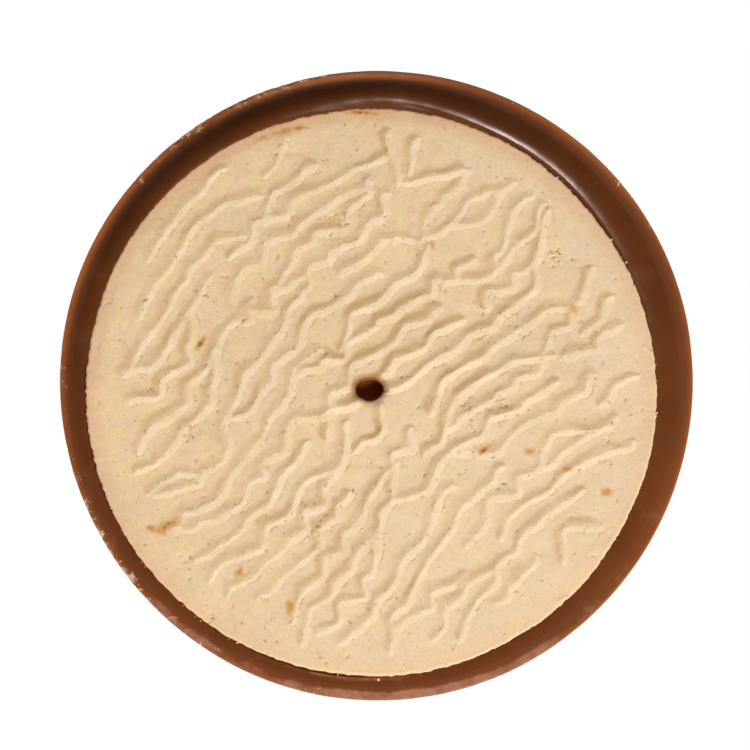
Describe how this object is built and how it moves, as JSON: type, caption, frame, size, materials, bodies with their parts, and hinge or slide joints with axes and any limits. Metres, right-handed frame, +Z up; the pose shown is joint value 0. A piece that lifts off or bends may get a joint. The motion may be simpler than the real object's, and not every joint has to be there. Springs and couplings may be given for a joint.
{
  "type": "chocolate cookie",
  "caption": "Round biscuit with wavy ridges and a docker hole, pressed underside up into a moulded milk chocolate tray with a thin lip.",
  "frame": {"origin": "middle of the chocolate tray, on the plane that it rests on", "axes": "+Z up through the biscuit, +X to the right and +Y to the top of the picture"},
  "size_m": [0.064, 0.064, 0.0062],
  "materials": {
    "milk_chocolate": "satin, smooth, with a chipped paler lip",
    "baked_biscuit": "matt, short crumb with small pits and toasted spots"
  },
  "bodies": {
    "root": {"chocolate": "milk_chocolate", "biscuit": "baked_biscuit"}
  },
  "joints": []
}
